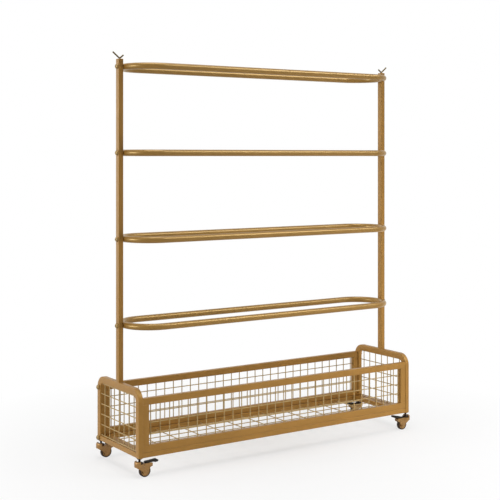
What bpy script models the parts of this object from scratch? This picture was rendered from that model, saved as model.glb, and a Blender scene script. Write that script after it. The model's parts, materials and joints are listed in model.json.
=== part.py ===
# Ball storage rack on casters: a wire bin with two posts that carry four oblong shelf loops.
# Metres, +Z up. The long side of the bin runs along X, its front faces -Y, the floor is at Z 0.

import math

import bmesh
import bpy
from mathutils import Matrix, Vector

for thing in list(bpy.data.objects):
    bpy.data.objects.remove(thing, do_unlink=True)

# Shared sizes. The frames and posts are all of one oblong tube.
GAP = 0.0003
TUBE_WIDE = 0.0254
TUBE_THIN = 0.019
SOFT_EDGE = 0.0012
WIRE = 0.0038
WELD_DEPTH = 0.0010
WIRE_SPACING = 0.0405

# Bin
LENGTH = 1.325
DEPTH = 0.347
BIN_FLOOR = 0.072
END_FRAME_TOP = 0.326
END_CORNER = 0.048
CORNER_STEPS = 6

# Front and rear panels
PANEL_TOP = 0.292
PANEL_SETBACK = 0.002
PANEL_BARS = 3
PANEL_FIRST_BAR = 0.158
PANEL_BAR_SPACING = 0.040

# End meshes
END_BARS = 6
END_FIRST_BAR = 0.0949
END_MESH_INSET = 0.0065

# Floor mesh
FLOOR_LONG_WIRES = 4
FLOOR_CROSS_WIRES = 11

# Posts and shelf loops
POST_ABOVE_SHELVES = 0.0294
CAP_FLANGE = 0.003
CAP_PLUG = 0.012
CAP_WALL = 0.002
SHELF_FIRST = 0.5416
SHELF_SPACING = 0.330
SHELF_COUNT = 4
LOOP_TUBE = 0.0254
LOOP_SPACING = 0.225
LOOP_STEPS = 8
LOOP_SIDES = 12

# Hooks on the post tops
HOOK_ROD = 0.006
HOOK_SLOPE = math.radians(39)
HOOK_OUTER_ARM = 0.0378
HOOK_INNER_ARM = 0.0214
HOOK_BEND = 0.005
HOOK_BEND_STEPS = 3
HOOK_SIDES = 8

# Bolts
BOLT_HEAD = 0.020
BOLT_HEAD_HEIGHT = 0.008
BOLT_SHOULDER = 0.0172
BOLT_SHOULDER_HEIGHT = 0.005
BOLT_CROWN = 0.010
BOLT_SHANK = 0.006
BOLT_SIDES = 8
SHELF_BOLT_REACH = 0.012
PANEL_BOLT_REACH = 0.015

# Casters. Distances along a caster are measured from its swivel axis towards the wheel.
WHEEL_RADIUS = 0.022
WHEEL_WIDTH = 0.015
TYRE_THICKNESS = 0.0042
TREAD_DROP = 0.0015
TREAD_INSET = 0.002
HUB_RECESS = 0.0015
HUB_BOSS = 0.0055
WHEEL_SIDES = 16
TRAIL = 0.0215
AXLE_RADIUS = 0.003
AXLE_HEAD_RADIUS = 0.005
AXLE_HEAD = 0.0015
CHEEK = 0.0025
CHEEK_END = 0.0110
CHEEK_FRONT = -0.012
CHEEK_WAIST = 0.036
CHEEK_BACK = 0.042
CHEEK_TAIL = 0.0505
CHEEK_TAIL_FOOT = 0.038
WHEEL_PLAY = 0.0003
ARCH_PLAY = 0.002
ARCH_STEPS = 5
HOOD_RADIUS = 0.0195
HOOD_TOP = 0.060
HOOD_BOTTOM = 0.040
HOOD_SHOULDER_DROP = 0.005
HOOD_SHOULDER_INSET = 0.003
HOOD_SIDES = 16
FORK_TOP = 0.0512
VISOR_EDGE = -0.004
RING_RADIUS = 0.0135
RING_TOP = 0.057
NECK_RADIUS = 0.0045
NUT_RADIUS = 0.0098
NUT_HEIGHT = 0.0035
STEM_RADIUS = 0.005
STEM_REACH = 0.0045
KINGPIN_RADIUS = 0.004
KINGPIN_END = 0.0475
SWIVEL_PLAY = 0.0009
STEM_SIDES = 10
PEDAL_PIVOT = (0.0275, 0.0478)
PEDAL_PIN_RADIUS = 0.0022
PEDAL_PIN_PROUD = 0.0005
PEDAL_LUG = 0.0036
PEDAL_LUG_FOOT = 0.0108
PEDAL_WIDTH = 0.020
PEDAL_START = 0.0225
PEDAL_UNDER = 0.0526
PEDAL_PLATE = 0.0038
PEDAL_SLOPE = 0.004
PEDAL_LIFT = math.radians(8)

# The thicker toe of the pedal, from its underside round to its top, as distances and heights
PEDAL_TOE = ((0.054, 0.0526), (0.061, 0.0502), (0.0715, 0.0515), (0.075, 0.0545),
             (0.0735, 0.0585), (0.068, 0.0598), (0.058, 0.0588))

# A length that reaches right through any part of a caster
THROUGH = 0.100

# Places worked out from the sizes
LEG_X = LENGTH / 2 - TUBE_THIN / 2
LEG_Y = DEPTH / 2 - TUBE_WIDE / 2
PANEL_FACE = DEPTH / 2 - PANEL_SETBACK
PANEL_Y = PANEL_FACE - TUBE_THIN / 2
INNER_X = LENGTH / 2 - TUBE_THIN
FLOOR_LEVEL = BIN_FLOOR + TUBE_THIN / 2
PANEL_BOTTOM = BIN_FLOOR + TUBE_THIN + GAP
PANEL_END = INNER_X - GAP
WINDOW_END = PANEL_END - TUBE_WIDE
PANEL_UPRIGHTS = int((2 * WINDOW_END - WIRE - 2 * GAP) / WIRE_SPACING) + 1
END_UPRIGHTS = int((DEPTH - 2 * END_CORNER) / WIRE_SPACING) + 1
UPPER_BOLT_Z = PANEL_TOP - TUBE_WIDE / 2
POST_FOOT = END_FRAME_TOP + GAP
POST_TOP = SHELF_FIRST + (SHELF_COUNT - 1) * SHELF_SPACING + POST_ABOVE_SHELVES
POST_END = POST_TOP - CAP_FLANGE - GAP
NUT_TOP = BIN_FLOOR - GAP
FORK_INNER = WHEEL_WIDTH / 2 + WHEEL_PLAY
FORK_OUTER = FORK_INNER + CHEEK

# Base colour, metallic and roughness of each finish
FINISHES = {
    "gold_paint": ((0.46, 0.32, 0.13), 0.45, 0.40),
    "gold_wire": ((0.42, 0.31, 0.15), 0.45, 0.45),
    "gold_hardware": ((0.40, 0.27, 0.11), 0.60, 0.40),
    "dark_steel": ((0.020, 0.012, 0.008), 0.50, 0.45),
    "black_plastic": ((0.010, 0.009, 0.009), 0.0, 0.50),
    "tyre_rubber": ((0.030, 0.020, 0.014), 0.0, 0.70),
}


def paint(thing, finish):
    """Gives the object a material of its own in one of the finishes."""
    colour, metallic, roughness = FINISHES[finish]
    material = bpy.data.materials.new(thing.name + "_" + finish)
    material.use_nodes = True
    shader = material.node_tree.nodes["Principled BSDF"]
    shader.inputs["Base Color"].default_value = (*colour, 1.0)
    shader.inputs["Metallic"].default_value = metallic
    shader.inputs["Roughness"].default_value = roughness
    thing.data.materials.append(material)


def make(name, shape, place=(0, 0, 0), finish=None, parent=None, turn=(0, 0, 0), smooth=False):
    """Links a shape as a named object. One without a finish is a tool for a Boolean."""
    bmesh.ops.recalc_face_normals(shape, faces=shape.faces)
    mesh = bpy.data.meshes.new(name)
    shape.to_mesh(mesh)
    shape.free()
    if smooth:
        mesh.shade_smooth()
        mesh.set_sharp_from_angle(angle=math.radians(40))
    thing = bpy.data.objects.new(name, mesh)
    bpy.context.collection.objects.link(thing)
    thing.parent = parent
    thing.location = place
    thing.rotation_euler = turn
    if finish:
        paint(thing, finish)
    else:
        thing.hide_render = True
        thing.display_type = "WIRE"
    return thing


def boolean(thing, operation, tool):
    step = thing.modifiers.new(tool.name, "BOOLEAN")
    step.operation = operation
    step.solver = "EXACT"
    step.object = tool


def repeat(thing, step, count):
    """Repeats the object `count` times, each moved by `step` from the last."""
    array = thing.modifiers.new("repeat", "ARRAY")
    array.use_relative_offset = False
    array.use_constant_offset = True
    array.constant_offset_displace = step
    array.count = count


def rings_to_shape(rings, closed):
    """Joins rings of points side by side. An open run gets a flat face at each end."""
    shape = bmesh.new()
    loops = [[shape.verts.new(point) for point in ring] for ring in rings]
    pairs = list(zip(loops, loops[1:]))
    if closed:
        pairs.append((loops[-1], loops[0]))
    else:
        shape.faces.new(loops[0])
        shape.faces.new(loops[-1])
    for one, other in pairs:
        for i in range(len(one)):
            j = (i + 1) % len(one)
            shape.faces.new((one[i], one[j], other[j], other[i]))
    return shape


def block(size, centre=(0, 0, 0)):
    shape = bmesh.new()
    bmesh.ops.create_cube(shape, matrix=Matrix.LocRotScale(Vector(centre), None, Vector(size)))
    return shape


def extruded(outline, low, high):
    """An outline in X and Y carried along Z."""
    return rings_to_shape([[(x, y, z) for x, y in outline] for z in (low, high)], False)


def sideways(outline, width):
    """An outline in X and Z carried along Y, equal amounts each way."""
    return rings_to_shape([[(x, y, z) for x, z in outline] for y in (-width / 2, width / 2)], False)


def wire(axis, length):
    """A straight four-sided wire along one axis, turned so that crossing wires meet edge to edge."""
    rings = []
    for end in (-length / 2, length / 2):
        ring = [[WIRE / 2, 0], [0, WIRE / 2], [-WIRE / 2, 0], [0, -WIRE / 2]]
        for point in ring:
            point.insert(axis, end)
        rings.append(ring)
    return rings_to_shape(rings, False)


def round_section(radius, sides):
    """A polygon whose flats lie at the radius."""
    corner = radius / math.cos(math.pi / sides)
    angles = [2 * math.pi * (i + 0.5) / sides for i in range(sides)]
    return [(corner * math.cos(a), corner * math.sin(a)) for a in angles]


def turned(profile, sides, closed=False):
    """A profile of radius and height turned around Z. A closed profile makes a ring."""
    rings = [[(x, y, height) for x, y in round_section(radius, sides)] for radius, height in profile]
    return rings_to_shape(rings, closed)


def tube_section(across, along):
    """An oblong with cut corners, as points across and along."""
    x, y = across / 2, along / 2
    points = [(x, y - SOFT_EDGE), (x - SOFT_EDGE, y), (SOFT_EDGE - x, y), (-x, y - SOFT_EDGE)]
    return points + [(-a, -b) for a, b in points]


def swept(path, normal, section, closed):
    """A section carried along a flat path and mitred at each of its points."""
    normal = Vector(normal)
    points = [Vector(point) for point in path]
    rings = []
    for i, point in enumerate(points):
        before = points[i - 1] if closed or i > 0 else None
        after = points[(i + 1) % len(points)] if closed or i < len(points) - 1 else None
        into = (point - before).normalized() if before else (after - point).normalized()
        out = (after - point).normalized() if after else into
        side = (into + out).normalized().cross(normal)
        stretch = 1 / side.dot(into.cross(normal))
        rings.append([point + side * across * stretch + normal * along for across, along in section])
    return rings_to_shape(rings, closed)


def arc(centre, radius, start, end, steps):
    """Points along a circle in a plane, from one angle to another."""
    angles = [start + (end - start) * i / steps for i in range(steps + 1)]
    return [(centre[0] + radius * math.cos(a), centre[1] + radius * math.sin(a)) for a in angles]


def end_outline(inset, lift):
    """The end frame's outline in Y and Z, moved inwards by `inset` and its foot up by `lift`."""
    half = DEPTH / 2 - inset
    low = BIN_FLOOR + lift
    radius = END_CORNER - inset
    centre_y = DEPTH / 2 - END_CORNER
    centre_z = END_FRAME_TOP - END_CORNER
    right = arc((centre_y, centre_z), radius, 0, math.pi / 2, CORNER_STEPS)
    left = arc((-centre_y, centre_z), radius, math.pi / 2, math.pi, CORNER_STEPS)
    return [(-half, low), (half, low)] + right + left


def bore(name, radius, length, place, turn, parent=None, sides=BOLT_SIDES):
    """A tool for a round hole, `length` long and centred on its place."""
    shape = turned([(radius, -length / 2), (radius, length / 2)], sides)
    return make(name, shape, place, turn=turn, parent=parent)


def bolt(name, place, side, shank):
    """A domed bolt along X. Its head sits on the outer face at `place`, its shank points inwards."""
    profile = [
        (BOLT_CROWN / 2, BOLT_HEAD_HEIGHT),
        (BOLT_SHOULDER / 2, BOLT_SHOULDER_HEIGHT),
        (BOLT_HEAD / 2, 0),
        (BOLT_SHANK / 2, 0),
        (BOLT_SHANK / 2, -shank),
    ]
    shape = turned(profile, BOLT_SIDES)
    make(name, shape, place, "gold_hardware", turn=(0, side * math.pi / 2, 0), smooth=True)


def wires(name, axis, length, first, step, count, finish=None):
    """A row of straight wires along one axis: the first one's centre, and the step to the next."""
    row = make(name, wire(axis, length), first, finish)
    repeat(row, step, count)
    return row


def panel(name, y):
    """A frame between the legs, centred on Y, and its welded wire mesh."""
    frame = make(name + "_frame", block((2 * PANEL_END, TUBE_THIN, PANEL_TOP - PANEL_BOTTOM)),
                 (0, y, (PANEL_TOP + PANEL_BOTTOM) / 2), "gold_paint")
    low = PANEL_BOTTOM + TUBE_WIDE
    high = PANEL_TOP - TUBE_WIDE
    window = make(name + "_window", block((2 * WINDOW_END, 2 * TUBE_THIN, high - low)),
                  (0, y, (high + low) / 2))
    boolean(frame, "DIFFERENCE", window)
    soften = frame.modifiers.new("soft_edges", "BEVEL")
    soften.width = SOFT_EDGE
    soften.segments = 1
    outward = math.copysign((WIRE - WELD_DEPTH) / 2, y)
    first = (-(PANEL_UPRIGHTS - 1) / 2 * WIRE_SPACING, y + outward, (high + low) / 2)
    mesh = wires(name + "_mesh", 2, high - low - 2 * GAP, first, (WIRE_SPACING, 0, 0), PANEL_UPRIGHTS,
                 "gold_wire")
    bars = wires(name + "_bars", 0, 2 * (WINDOW_END - GAP), (0, y - outward, PANEL_FIRST_BAR),
                 (0, 0, PANEL_BAR_SPACING), PANEL_BARS)
    boolean(mesh, "UNION", bars)
    return frame


def end_frame(name, side):
    """A tube bent into the end of the bin on a thinner foot bar, with sockets for the caster stems."""
    rings = []
    for (outer_y, outer_z), (inner_y, inner_z) in zip(end_outline(0, 0), end_outline(TUBE_WIDE, TUBE_THIN)):
        ring = []
        for across, along in tube_section(TUBE_WIDE, TUBE_THIN):
            share = across / TUBE_WIDE + 1 / 2
            y = inner_y + (outer_y - inner_y) * share
            ring.append((along, y, inner_z + (outer_z - inner_z) * share))
        rings.append(ring)
    shape = rings_to_shape(rings, True)
    frame = make(name + "_end_frame", shape, (side * LEG_X, 0, 0), "gold_paint", smooth=True)
    sockets = bore(name + "_stem_sockets", STEM_RADIUS + GAP, 2 * (STEM_REACH + GAP),
                   (side * LEG_X, -LEG_Y, BIN_FLOOR), (0, 0, 0), sides=STEM_SIDES)
    repeat(sockets, (0, 2 * LEG_Y, 0), 2)
    boolean(frame, "DIFFERENCE", sockets)
    return frame


def end_mesh(name, side):
    """Wires trimmed to the opening of the end frame, the level ones on the outside."""
    plane = side * (LENGTH / 2 - END_MESH_INSET)
    outward = side * (WIRE - WELD_DEPTH) / 2
    middle = (BIN_FLOOR + END_FRAME_TOP) / 2
    first = (plane - outward, -(END_UPRIGHTS - 1) / 2 * WIRE_SPACING, middle)
    mesh = wires(name + "_end_mesh", 2, END_FRAME_TOP - BIN_FLOOR, first, (0, WIRE_SPACING, 0),
                 END_UPRIGHTS, "gold_wire")
    bars = wires(name + "_end_bars", 1, DEPTH, (plane + outward, 0, END_FIRST_BAR),
                 (0, 0, WIRE_SPACING), END_BARS)
    boolean(mesh, "UNION", bars)
    opening = end_outline(TUBE_WIDE + GAP, TUBE_THIN + GAP)
    rings = [[(x, y, z) for y, z in opening] for x in (-TUBE_THIN, TUBE_THIN)]
    trim = make(name + "_end_trim", rings_to_shape(rings, False), (plane, 0, 0))
    boolean(mesh, "INTERSECT", trim)


def floor():
    """A flat-lying tube frame under the panels, level with the foot bars, and its wire mesh."""
    half_x = PANEL_END - TUBE_WIDE / 2
    half_y = PANEL_FACE - TUBE_WIDE / 2
    corners = [(-half_x, -half_y, 0), (half_x, -half_y, 0), (half_x, half_y, 0), (-half_x, half_y, 0)]
    shape = swept(corners, (0, 0, 1), tube_section(TUBE_WIDE, TUBE_THIN), True)
    frame = make("floor_frame", shape, (0, 0, FLOOR_LEVEL), "gold_paint", smooth=True)
    long_half = half_x - TUBE_WIDE / 2 - GAP
    cross_half = half_y - TUBE_WIDE / 2 - GAP
    long_pitch = 2 * cross_half / (FLOOR_LONG_WIRES + 1)
    cross_pitch = 2 * long_half / (FLOOR_CROSS_WIRES + 1)
    lift = (WIRE - WELD_DEPTH) / 2
    first_long = (0, -(FLOOR_LONG_WIRES - 1) / 2 * long_pitch, FLOOR_LEVEL + lift)
    mesh = wires("floor_mesh", 0, 2 * long_half, first_long, (0, long_pitch, 0), FLOOR_LONG_WIRES,
                 "gold_wire")
    first_cross = (-(FLOOR_CROSS_WIRES - 1) / 2 * cross_pitch, 0, FLOOR_LEVEL - lift)
    across = wires("floor_cross_wires", 1, 2 * cross_half, first_cross, (cross_pitch, 0, 0),
                   FLOOR_CROSS_WIRES)
    boolean(mesh, "UNION", across)
    return frame


def panel_bolts(name, side, frame, rear_frame, floor_frame):
    """Two bolts through the rear leg, one into the rear panel and one into the floor frame."""
    outer = side * (LENGTH / 2 + GAP)
    shank = TUBE_THIN + 2 * GAP + PANEL_BOLT_REACH
    for label, z, held in (("upper", UPPER_BOLT_Z, rear_frame), ("lower", FLOOR_LEVEL, floor_frame)):
        hole = bore(name + "_" + label + "_panel_hole", BOLT_SHANK / 2 + GAP, 2 * (shank + GAP),
                    (outer, PANEL_Y, z), (0, math.pi / 2, 0))
        boolean(frame, "DIFFERENCE", hole)
        boolean(held, "DIFFERENCE", hole)
        bolt(name + "_" + label + "_panel_bolt", (outer, PANEL_Y, z), side, shank)


def post(name, side):
    """A post on the end frame's upper bar, closed by a plug cap, and the holes for its bolts."""
    shape = extruded(tube_section(TUBE_THIN, TUBE_WIDE), POST_FOOT, POST_END)
    body = make(name + "_post", shape, (side * LEG_X, 0, 0), "gold_paint")
    seat_x, seat_y = TUBE_THIN - 2 * CAP_WALL, TUBE_WIDE - 2 * CAP_WALL
    mouth = make(name + "_post_mouth", block((seat_x, seat_y, 2 * (CAP_PLUG + GAP))),
                 (side * LEG_X, 0, POST_END))
    boolean(body, "DIFFERENCE", mouth)
    holes = bore(name + "_post_holes", BOLT_SHANK / 2 + GAP, 2 * TUBE_THIN,
                 (side * LEG_X, 0, SHELF_FIRST), (0, math.pi / 2, 0))
    # The tool is turned about Y, so its own X points down the post.
    repeat(holes, (-SHELF_SPACING, 0, 0), SHELF_COUNT)
    boolean(body, "DIFFERENCE", holes)
    rings = []
    plug = CAP_WALL + GAP
    for inset, z in ((plug, POST_END - CAP_PLUG), (plug, POST_END + GAP), (0, POST_END + GAP),
                     (0, POST_TOP - CAP_FLANGE / 2), (CAP_FLANGE / 2, POST_TOP)):
        x, y = TUBE_THIN / 2 - inset, TUBE_WIDE / 2 - inset
        rings.append([(x, y, z), (-x, y, z), (-x, -y, z), (x, -y, z)])
    make(name + "_post_cap", rings_to_shape(rings, False), (side * LEG_X, 0, 0), "gold_paint")


def hook(name, side):
    """A rod bent in a shallow V on the cap, its longer arm pointing outwards."""
    base = POST_TOP + GAP + HOOK_ROD / 2
    lift = HOOK_BEND / math.cos(HOOK_SLOPE)
    outer = (side * HOOK_OUTER_ARM * math.cos(HOOK_SLOPE), HOOK_OUTER_ARM * math.sin(HOOK_SLOPE))
    inner = (-side * HOOK_INNER_ARM * math.cos(HOOK_SLOPE), HOOK_INNER_ARM * math.sin(HOOK_SLOPE))
    start = -math.pi / 2 + side * HOOK_SLOPE
    end = -math.pi / 2 - side * HOOK_SLOPE
    bend = arc((0, lift), HOOK_BEND, start, end, HOOK_BEND_STEPS)
    drop = lift - HOOK_BEND
    path = [(x, 0, z - drop) for x, z in [outer] + bend + [inner]]
    shape = swept(path, (0, 1, 0), round_section(HOOK_ROD / 2, HOOK_SIDES), False)
    make(name + "_hook", shape, (side * LEG_X, 0, base), "gold_paint", smooth=True)


def shelf_loop(number):
    """An oblong of round tube between the posts, bolted at both ends, that balls rest on."""
    z = SHELF_FIRST + (number - 1) * SHELF_SPACING
    radius = LOOP_SPACING / 2
    reach = INNER_X - GAP - LOOP_TUBE / 2 - radius
    right = arc((reach, 0), radius, -math.pi / 2, math.pi / 2, LOOP_STEPS)
    left = arc((-reach, 0), radius, math.pi / 2, 3 * math.pi / 2, LOOP_STEPS)
    path = [(x, y, 0) for x, y in right + left]
    shape = swept(path, (0, 0, 1), round_section(LOOP_TUBE / 2, LOOP_SIDES), True)
    loop = make("shelf_loop_%d" % number, shape, (0, 0, z), "gold_paint", smooth=True)
    shank = TUBE_THIN + 2 * GAP + SHELF_BOLT_REACH
    for name, side in (("left", -1), ("right", 1)):
        outer = side * (LENGTH / 2 + GAP)
        hole = bore("%s_shelf_hole_%d" % (name, number), BOLT_SHANK / 2 + GAP, 2 * (shank + GAP),
                    (outer, 0, z), (0, math.pi / 2, 0))
        boolean(loop, "DIFFERENCE", hole)
        bolt("%s_shelf_bolt_%d" % (name, number), (outer, 0, z), side, shank)


def caster_stem(name, x, y):
    """Stem, nut, neck, bearing ring and kingpin in one turned piece that stays with the leg."""
    profile = [
        (STEM_RADIUS, BIN_FLOOR + STEM_REACH),
        (STEM_RADIUS, NUT_TOP),
        (NUT_RADIUS, NUT_TOP),
        (NUT_RADIUS, NUT_TOP - NUT_HEIGHT),
        (NECK_RADIUS, NUT_TOP - NUT_HEIGHT),
        (NECK_RADIUS, RING_TOP),
        (RING_RADIUS, RING_TOP),
        (RING_RADIUS, FORK_TOP + GAP),
        (KINGPIN_RADIUS, FORK_TOP + GAP),
        (KINGPIN_RADIUS, KINGPIN_END),
    ]
    make(name + "_stem", turned(profile, STEM_SIDES), (x, y, 0), "dark_steel", smooth=True)


def caster_fork(name, swivel):
    """A round hood that runs down into two cheeks, with a visor around the bearing ring."""
    across = (math.pi / 2, 0, 0)
    hood_profile = [
        (HOOD_RADIUS, HOOD_BOTTOM),
        (HOOD_RADIUS, HOOD_TOP - HOOD_SHOULDER_DROP),
        (HOOD_RADIUS - HOOD_SHOULDER_INSET, HOOD_TOP),
    ]
    fork = make(name + "_fork", turned(hood_profile, HOOD_SIDES), (0, 0, 0), "gold_hardware", swivel,
                smooth=True)
    cheek = [(CHEEK_FRONT, FORK_TOP), (CHEEK_FRONT, CHEEK_WAIST)]
    cheek += arc((TRAIL, WHEEL_RADIUS), CHEEK_END, math.pi, 2 * math.pi, 3)
    cheek += [(CHEEK_BACK, CHEEK_WAIST), (CHEEK_TAIL, CHEEK_TAIL_FOOT), (CHEEK_TAIL, FORK_TOP)]
    cheeks = make(name + "_fork_cheeks", sideways(cheek, 2 * FORK_OUTER), parent=swivel)
    boolean(fork, "UNION", cheeks)
    relief = make(name + "_fork_relief", block((THROUGH, THROUGH, THROUGH)),
                  (VISOR_EDGE + THROUGH / 2, 0, FORK_TOP + THROUGH / 2), parent=swivel)
    boolean(fork, "DIFFERENCE", relief)
    race = bore(name + "_fork_race", RING_RADIUS + SWIVEL_PLAY, THROUGH, (0, 0, FORK_TOP + THROUGH / 2),
                (0, 0, 0), swivel, HOOD_SIDES)
    boolean(fork, "DIFFERENCE", race)
    kingpin = bore(name + "_fork_bearing", KINGPIN_RADIUS + SWIVEL_PLAY, 2 * (FORK_TOP - KINGPIN_END + GAP),
                   (0, 0, FORK_TOP), (0, 0, 0), swivel, STEM_SIDES)
    boolean(fork, "DIFFERENCE", kingpin)
    arch_radius = WHEEL_RADIUS + ARCH_PLAY
    arch = arc((TRAIL, WHEEL_RADIUS), arch_radius, math.pi, math.pi / 2, ARCH_STEPS)
    arch += [(TRAIL, THROUGH), (THROUGH, THROUGH), (THROUGH, -THROUGH), (TRAIL - arch_radius, -THROUGH)]
    slot = make(name + "_fork_slot", sideways(arch, 2 * FORK_INNER), parent=swivel)
    boolean(fork, "DIFFERENCE", slot)
    axle_hole = bore(name + "_fork_axle_hole", AXLE_RADIUS + GAP, THROUGH, (TRAIL, 0, WHEEL_RADIUS),
                     across, swivel)
    boolean(fork, "DIFFERENCE", axle_hole)
    pivot_hole = bore(name + "_fork_pivot_hole", PEDAL_PIN_RADIUS + GAP, THROUGH,
                      (PEDAL_PIVOT[0], 0, PEDAL_PIVOT[1]), across, swivel)
    boolean(fork, "DIFFERENCE", pivot_hole)


def caster_wheel(name, swivel):
    """Tyre and hub on one axle."""
    lying = (math.pi / 2, 0, 0)
    place = (TRAIL, 0, WHEEL_RADIUS)
    half = WHEEL_WIDTH / 2
    inner = WHEEL_RADIUS - TYRE_THICKNESS
    tread = half - TREAD_INSET
    shoulder = WHEEL_RADIUS - TREAD_DROP
    tyre = [(inner, -half), (shoulder, -half), (WHEEL_RADIUS, -tread)]
    tyre += [(WHEEL_RADIUS, tread), (shoulder, half), (inner, half)]
    make(name + "_tyre", turned(tyre, WHEEL_SIDES, True), place, "tyre_rubber", swivel, lying, True)
    rim = inner - GAP
    hole = AXLE_RADIUS + GAP
    face = half - HUB_RECESS
    hub = [(hole, -half), (HUB_BOSS, -half), (rim - HUB_RECESS, -face), (rim, -half), (rim, half),
           (rim - HUB_RECESS, face), (HUB_BOSS, half), (hole, half)]
    make(name + "_hub", turned(hub, WHEEL_SIDES, True), place, "gold_hardware", swivel, lying, True)
    outer = FORK_OUTER + GAP
    axle = [(AXLE_HEAD_RADIUS, -outer - AXLE_HEAD), (AXLE_HEAD_RADIUS, -outer), (AXLE_RADIUS, -outer),
            (AXLE_RADIUS, outer), (AXLE_HEAD_RADIUS, outer), (AXLE_HEAD_RADIUS, outer + AXLE_HEAD)]
    make(name + "_axle", turned(axle, BOLT_SIDES), place, "gold_hardware", swivel, lying, True)


def caster_pedal(name, swivel, lift):
    """A flat pedal on a cross pin. It lies level when the brake is on and tilts up when it is off."""
    px, pz = PEDAL_PIVOT
    place = (px, 0, pz)
    top = PEDAL_UNDER + PEDAL_PLATE
    plate = [(PEDAL_START, PEDAL_UNDER), *PEDAL_TOE, (PEDAL_START + PEDAL_SLOPE, top),
             (PEDAL_START, top - PEDAL_SLOPE / 4)]
    outline = [(x - px, z - pz) for x, z in plate]
    pedal = make(name + "_pedal", sideways(outline, PEDAL_WIDTH), place, "black_plastic", swivel,
                 (0, -lift, 0))
    root = PEDAL_UNDER + PEDAL_PLATE / 2 - pz
    lug = arc((0, 0), PEDAL_LUG, math.pi, 2 * math.pi, 3)
    lug += [(PEDAL_LUG_FOOT - PEDAL_LUG, root), (-PEDAL_LUG, root)]
    lug_tool = make(name + "_pedal_lug", sideways(lug, 2 * (FORK_INNER - GAP)), place, parent=swivel,
                    turn=(0, -lift, 0))
    boolean(pedal, "UNION", lug_tool)
    pin = bore(name + "_pedal_pin", PEDAL_PIN_RADIUS, 2 * (FORK_OUTER + PEDAL_PIN_PROUD), place,
               (math.pi / 2, 0, 0), swivel)
    boolean(pedal, "UNION", pin)


def caster(name, x, y, heading, lift):
    """One caster. Its wheel trails from the swivel axis towards `heading`."""
    swivel = bpy.data.objects.new(name + "_swivel", None)
    bpy.context.collection.objects.link(swivel)
    swivel.location = (x, y, 0)
    swivel.rotation_euler = (0, 0, heading)
    caster_stem(name, x, y)
    caster_fork(name, swivel)
    caster_wheel(name, swivel)
    caster_pedal(name, swivel, lift)


panel("front_panel", -PANEL_Y)
rear_panel_frame = panel("rear_panel", PANEL_Y)
bottom_frame = floor()
for end_name, end_side in (("left", -1), ("right", 1)):
    bin_end = end_frame(end_name, end_side)
    end_mesh(end_name, end_side)
    panel_bolts(end_name, end_side, bin_end, rear_panel_frame, bottom_frame)
    post(end_name, end_side)
    hook(end_name, end_side)
for shelf in range(1, SHELF_COUNT + 1):
    shelf_loop(shelf)
caster("front_left", -LEG_X, -LEG_Y, 0, 0)
caster("front_right", LEG_X, -LEG_Y, math.pi, PEDAL_LIFT)
caster("rear_left", -LEG_X, LEG_Y, 0, PEDAL_LIFT)
caster("rear_right", LEG_X, LEG_Y, math.pi, PEDAL_LIFT)
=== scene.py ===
# Looks of the ball storage rack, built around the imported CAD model.
# Metres, +Z up, the front of the bin faces -Y, the floor is at Z 0.

import json
import math

import bmesh
import bpy
from mathutils import Matrix, Vector

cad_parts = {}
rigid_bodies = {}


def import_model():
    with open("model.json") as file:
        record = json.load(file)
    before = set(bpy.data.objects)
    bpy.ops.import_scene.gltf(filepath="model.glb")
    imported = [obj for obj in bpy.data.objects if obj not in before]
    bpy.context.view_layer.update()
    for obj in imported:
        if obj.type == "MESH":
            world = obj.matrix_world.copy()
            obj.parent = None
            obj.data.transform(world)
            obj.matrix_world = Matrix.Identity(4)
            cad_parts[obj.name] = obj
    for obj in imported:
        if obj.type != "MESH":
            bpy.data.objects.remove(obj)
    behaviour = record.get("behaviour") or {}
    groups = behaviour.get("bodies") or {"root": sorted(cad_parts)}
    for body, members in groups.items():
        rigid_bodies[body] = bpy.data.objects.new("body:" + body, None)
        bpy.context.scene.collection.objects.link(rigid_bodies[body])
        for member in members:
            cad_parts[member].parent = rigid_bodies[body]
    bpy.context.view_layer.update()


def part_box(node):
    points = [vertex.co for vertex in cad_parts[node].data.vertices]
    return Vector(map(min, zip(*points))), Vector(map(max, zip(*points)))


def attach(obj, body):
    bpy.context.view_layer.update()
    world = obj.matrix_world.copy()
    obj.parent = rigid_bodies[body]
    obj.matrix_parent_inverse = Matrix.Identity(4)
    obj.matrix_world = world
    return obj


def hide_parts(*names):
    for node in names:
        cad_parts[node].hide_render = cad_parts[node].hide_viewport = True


for thing in list(bpy.data.objects):
    bpy.data.objects.remove(thing, do_unlink=True)

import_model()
RACK = "rack"

# Sizes that the looks share with the CAD model
TUBE_WIDE = 0.0254
TUBE_THIN = 0.019
WIRE = 0.0038
WELD_DEPTH = 0.0010
WIRE_SPACING = 0.0405
END_CORNER = 0.048
END_MESH_INSET = 0.0065
END_UPRIGHTS = 7
END_BARS = 6
END_FIRST_BAR = 0.0949
PANEL_UPRIGHTS = 31
PANEL_BARS = 3
PANEL_FIRST_BAR = 0.158
PANEL_BAR_SPACING = 0.040
FLOOR_LONG_WIRES = 4
FLOOR_CROSS_WIRES = 11
SHELF_COUNT = 4
HOOK_ROD = 0.006
HOOK_SLOPE = math.radians(39)
HOOK_OUTER_ARM = 0.0378
HOOK_INNER_ARM = 0.0214
HOOK_BEND = 0.005
BOLT_HEAD_RADIUS = 0.010
BOLT_HEAD_HEIGHT = 0.008
BOLT_SHANK_RADIUS = 0.003

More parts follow.
